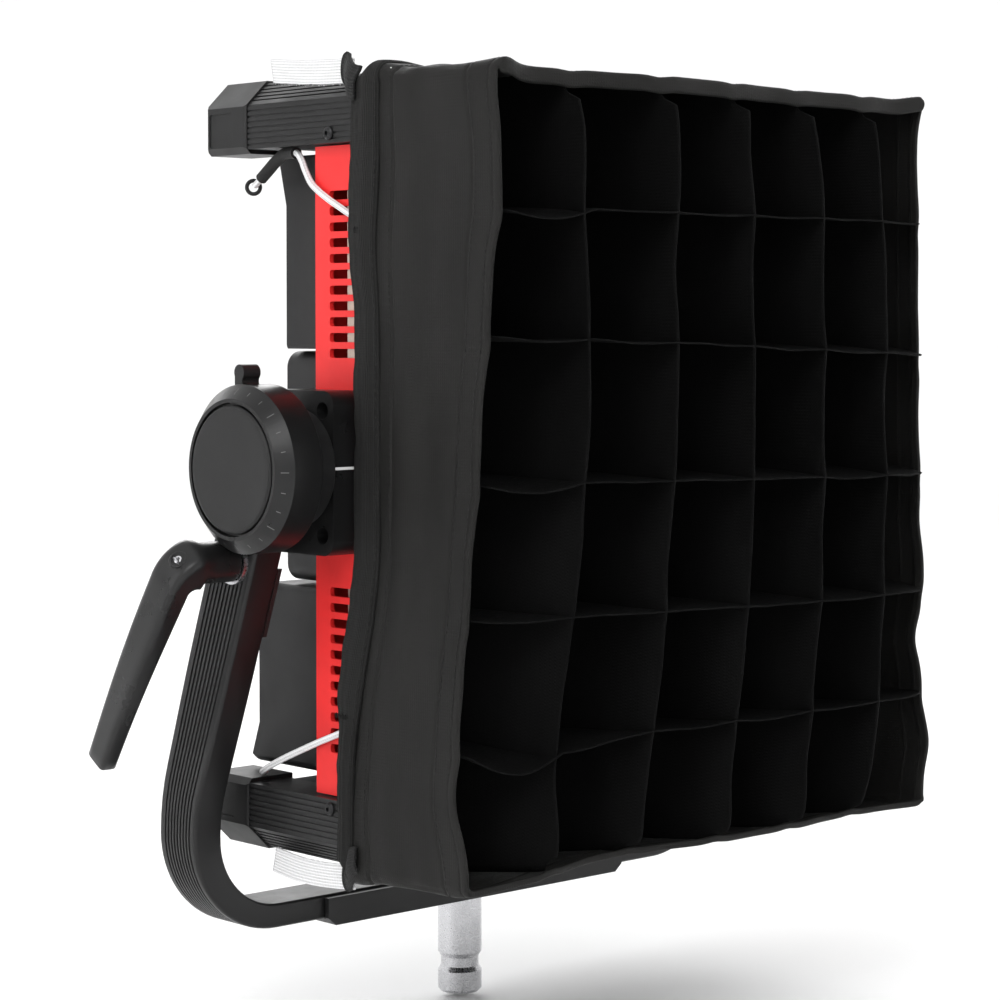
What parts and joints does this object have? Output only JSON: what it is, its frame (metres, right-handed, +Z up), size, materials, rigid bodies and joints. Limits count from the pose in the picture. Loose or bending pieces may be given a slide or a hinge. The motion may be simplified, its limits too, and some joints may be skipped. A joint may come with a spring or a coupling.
{
  "type": "led soft panel with gridded softbox",
  "caption": "LED soft panel on a tilting U yoke with a stand pin, fitted with a black fabric softbox and an egg-crate grid.",
  "frame": {"origin": "shoulder of the stand pin, on the pin's axis, where the yoke sits on a lighting stand", "axes": "+Z up along the pin, -Y the way the light shines, +X to the right seen from the front, along the tilt axis"},
  "size_m": [0.5268, 0.2629, 0.589],
  "materials": {
    "yoke_metal": "satin black anodised aluminium",
    "black_plastic": "fine textured black plastic",
    "hub_metal": "satin black paint",
    "red_paint": "satin red powder coat",
    "box_metal": "matt black powder coat",
    "rail_metal": "black anodised ribbed extrusion",
    "steel": "bright zinc and machined steel",
    "black_steel": "black oxide",
    "bronze": "plain bearing bronze",
    "friction": "brake disc grey",
    "mark_white": "white printed line",
    "opal": "opal acrylic, lamp off",
    "reflector": "white reflector",
    "board": "white solder mask",
    "phosphor": "yellow LED phosphor",
    "sink": "plain aluminium",
    "screen": "dark glossy window, off",
    "control": "soft black plastic",
    "softbox_fabric": "black coated nylon",
    "elastic": "black ribbed elastic webbing",
    "grid_fabric": "black woven grid fabric",
    "white_cloth": "white diffusion cloth",
    "white_cord": "white braided elastic cord",
    "white_webbing": "white ribbed webbing"
  },
  "bodies": {
    "yoke": {"yoke_bar": "yoke_metal", "base_block": "black_plastic", "base_screws": "steel", "stand_pin": "steel", "pin_nut": "steel", "hub_housing_left": "hub_metal", "hub_housing_right": "hub_metal", "hub_cap_left": "black_plastic", "hub_cap_right": "black_plastic", "arm_strips": "black_plastic", "pivot_bushes": "bronze", "hub_screws": "steel"},
    "head": {"tilt_shafts": "steel", "friction_discs": "friction", "mount_block_left": "hub_metal", "mount_block_right": "hub_metal", "mount_bolts": "black_steel", "index_marks": "mark_white", "chassis_left": "red_paint", "chassis_right": "red_paint", "chassis_panels": "box_metal", "chassis_back": "red_paint", "front_bezel": "box_metal", "opal_diffuser": "opal", "mixing_chamber": "reflector", "led_board": "board", "led_chips": "phosphor", "heat_sink": "sink", "fan_frames": "black_plastic", "control_box": "box_metal", "spine_box": "box_metal", "power_box": "box_metal", "display": "screen", "power_inlet": "black_plastic", "data_sockets": "black_plastic", "rail_top_left": "rail_metal", "rail_top_right": "rail_metal", "rail_bottom_left": "rail_metal", "rail_bottom_right": "rail_metal", "corner_caps": "black_plastic", "grip_bars": "yoke_metal", "rail_screws": "black_steel", "softbox_sleeve": "softbox_fabric", "elastic_band": "elastic", "grid_uprights": "grid_fabric", "grid_crossers": "grid_fabric", "diffuser_cloth": "white_cloth", "bungee_cords": "white_cord", "pull_tabs": "white_webbing"},
    "latch": {"tilt_latch": "control"},
    "spindle": {"clamp_spindle": "steel"},
    "handle": {"clamp_handle": "hub_metal"},
    "fan_left": {"fan_rotor_left": "control"},
    "fan_right": {"fan_rotor_right": "control"},
    "knob_left": {"knob_left": "control"},
    "knob_right": {"knob_right": "control"},
    "button_1": {"button_1": "control"},
    "button_2": {"button_2": "control"},
    "button_3": {"button_3": "control"},
    "rocker": {"power_rocker": "control"}
  },
  "joints": [
    {"name": "tilt", "type": "hinge", "parent": "yoke", "child": "head", "pos_m": [0, -0.093, 0.289], "axis": [1, 0, 0], "range_deg": [-90, 40]},
    {"name": "latch_press", "type": "slide", "parent": "yoke", "child": "latch", "axis": [0, 0, -1], "range_m": [0, 0.003], "stiffness_N_per_m": 900, "springref_m": -0.002},
    {"name": "clamp_turn", "type": "hinge", "parent": "yoke", "child": "spindle", "pos_m": [-0.226, -0.058, 0.234], "axis": [-1, 0, 0], "range_deg": [-60, 150]},
    {"name": "lever_lift", "type": "slide", "parent": "spindle", "child": "handle", "axis": [-1, 0, 0], "range_m": [0, 0.004], "stiffness_N_per_m": 1500, "springref_m": -0.003},
    {"name": "fan_left_spin", "type": "hinge", "parent": "head", "child": "fan_left", "pos_m": [-0.084, -0.094, 0.289], "axis": [0, 1, 0], "continuous": true},
    {"name": "fan_right_spin", "type": "hinge", "parent": "head", "child": "fan_right", "pos_m": [0.084, -0.094, 0.289], "axis": [0, 1, 0], "continuous": true},
    {"name": "knob_left_turn", "type": "hinge", "parent": "head", "child": "knob_left", "pos_m": [-0.108, -0.023, 0.407], "axis": [0, 1, 0], "continuous": true},
    {"name": "knob_right_turn", "type": "hinge", "parent": "head", "child": "knob_right", "pos_m": [0.108, -0.023, 0.407], "axis": [0, 1, 0], "continuous": true},
    {"name": "button_1_press", "type": "slide", "parent": "head", "child": "button_1", "axis": [0, -1, 0], "range_m": [0, 0.0015], "stiffness_N_per_m": 700, "springref_m": -0.001},
    {"name": "button_2_press", "type": "slide", "parent": "head", "child": "button_2", "axis": [0, -1, 0], "range_m": [0, 0.0015], "stiffness_N_per_m": 700, "springref_m": -0.001},
    {"name": "button_3_press", "type": "slide", "parent": "head", "child": "button_3", "axis": [0, -1, 0], "range_m": [0, 0.0015], "stiffness_N_per_m": 700, "springref_m": -0.001},
    {"name": "rocker_tip", "type": "hinge", "parent": "head", "child": "rocker", "pos_m": [0.1, 0.002, 0.169], "axis": [1, 0, 0], "range_deg": [-6, 6]}
  ]
}
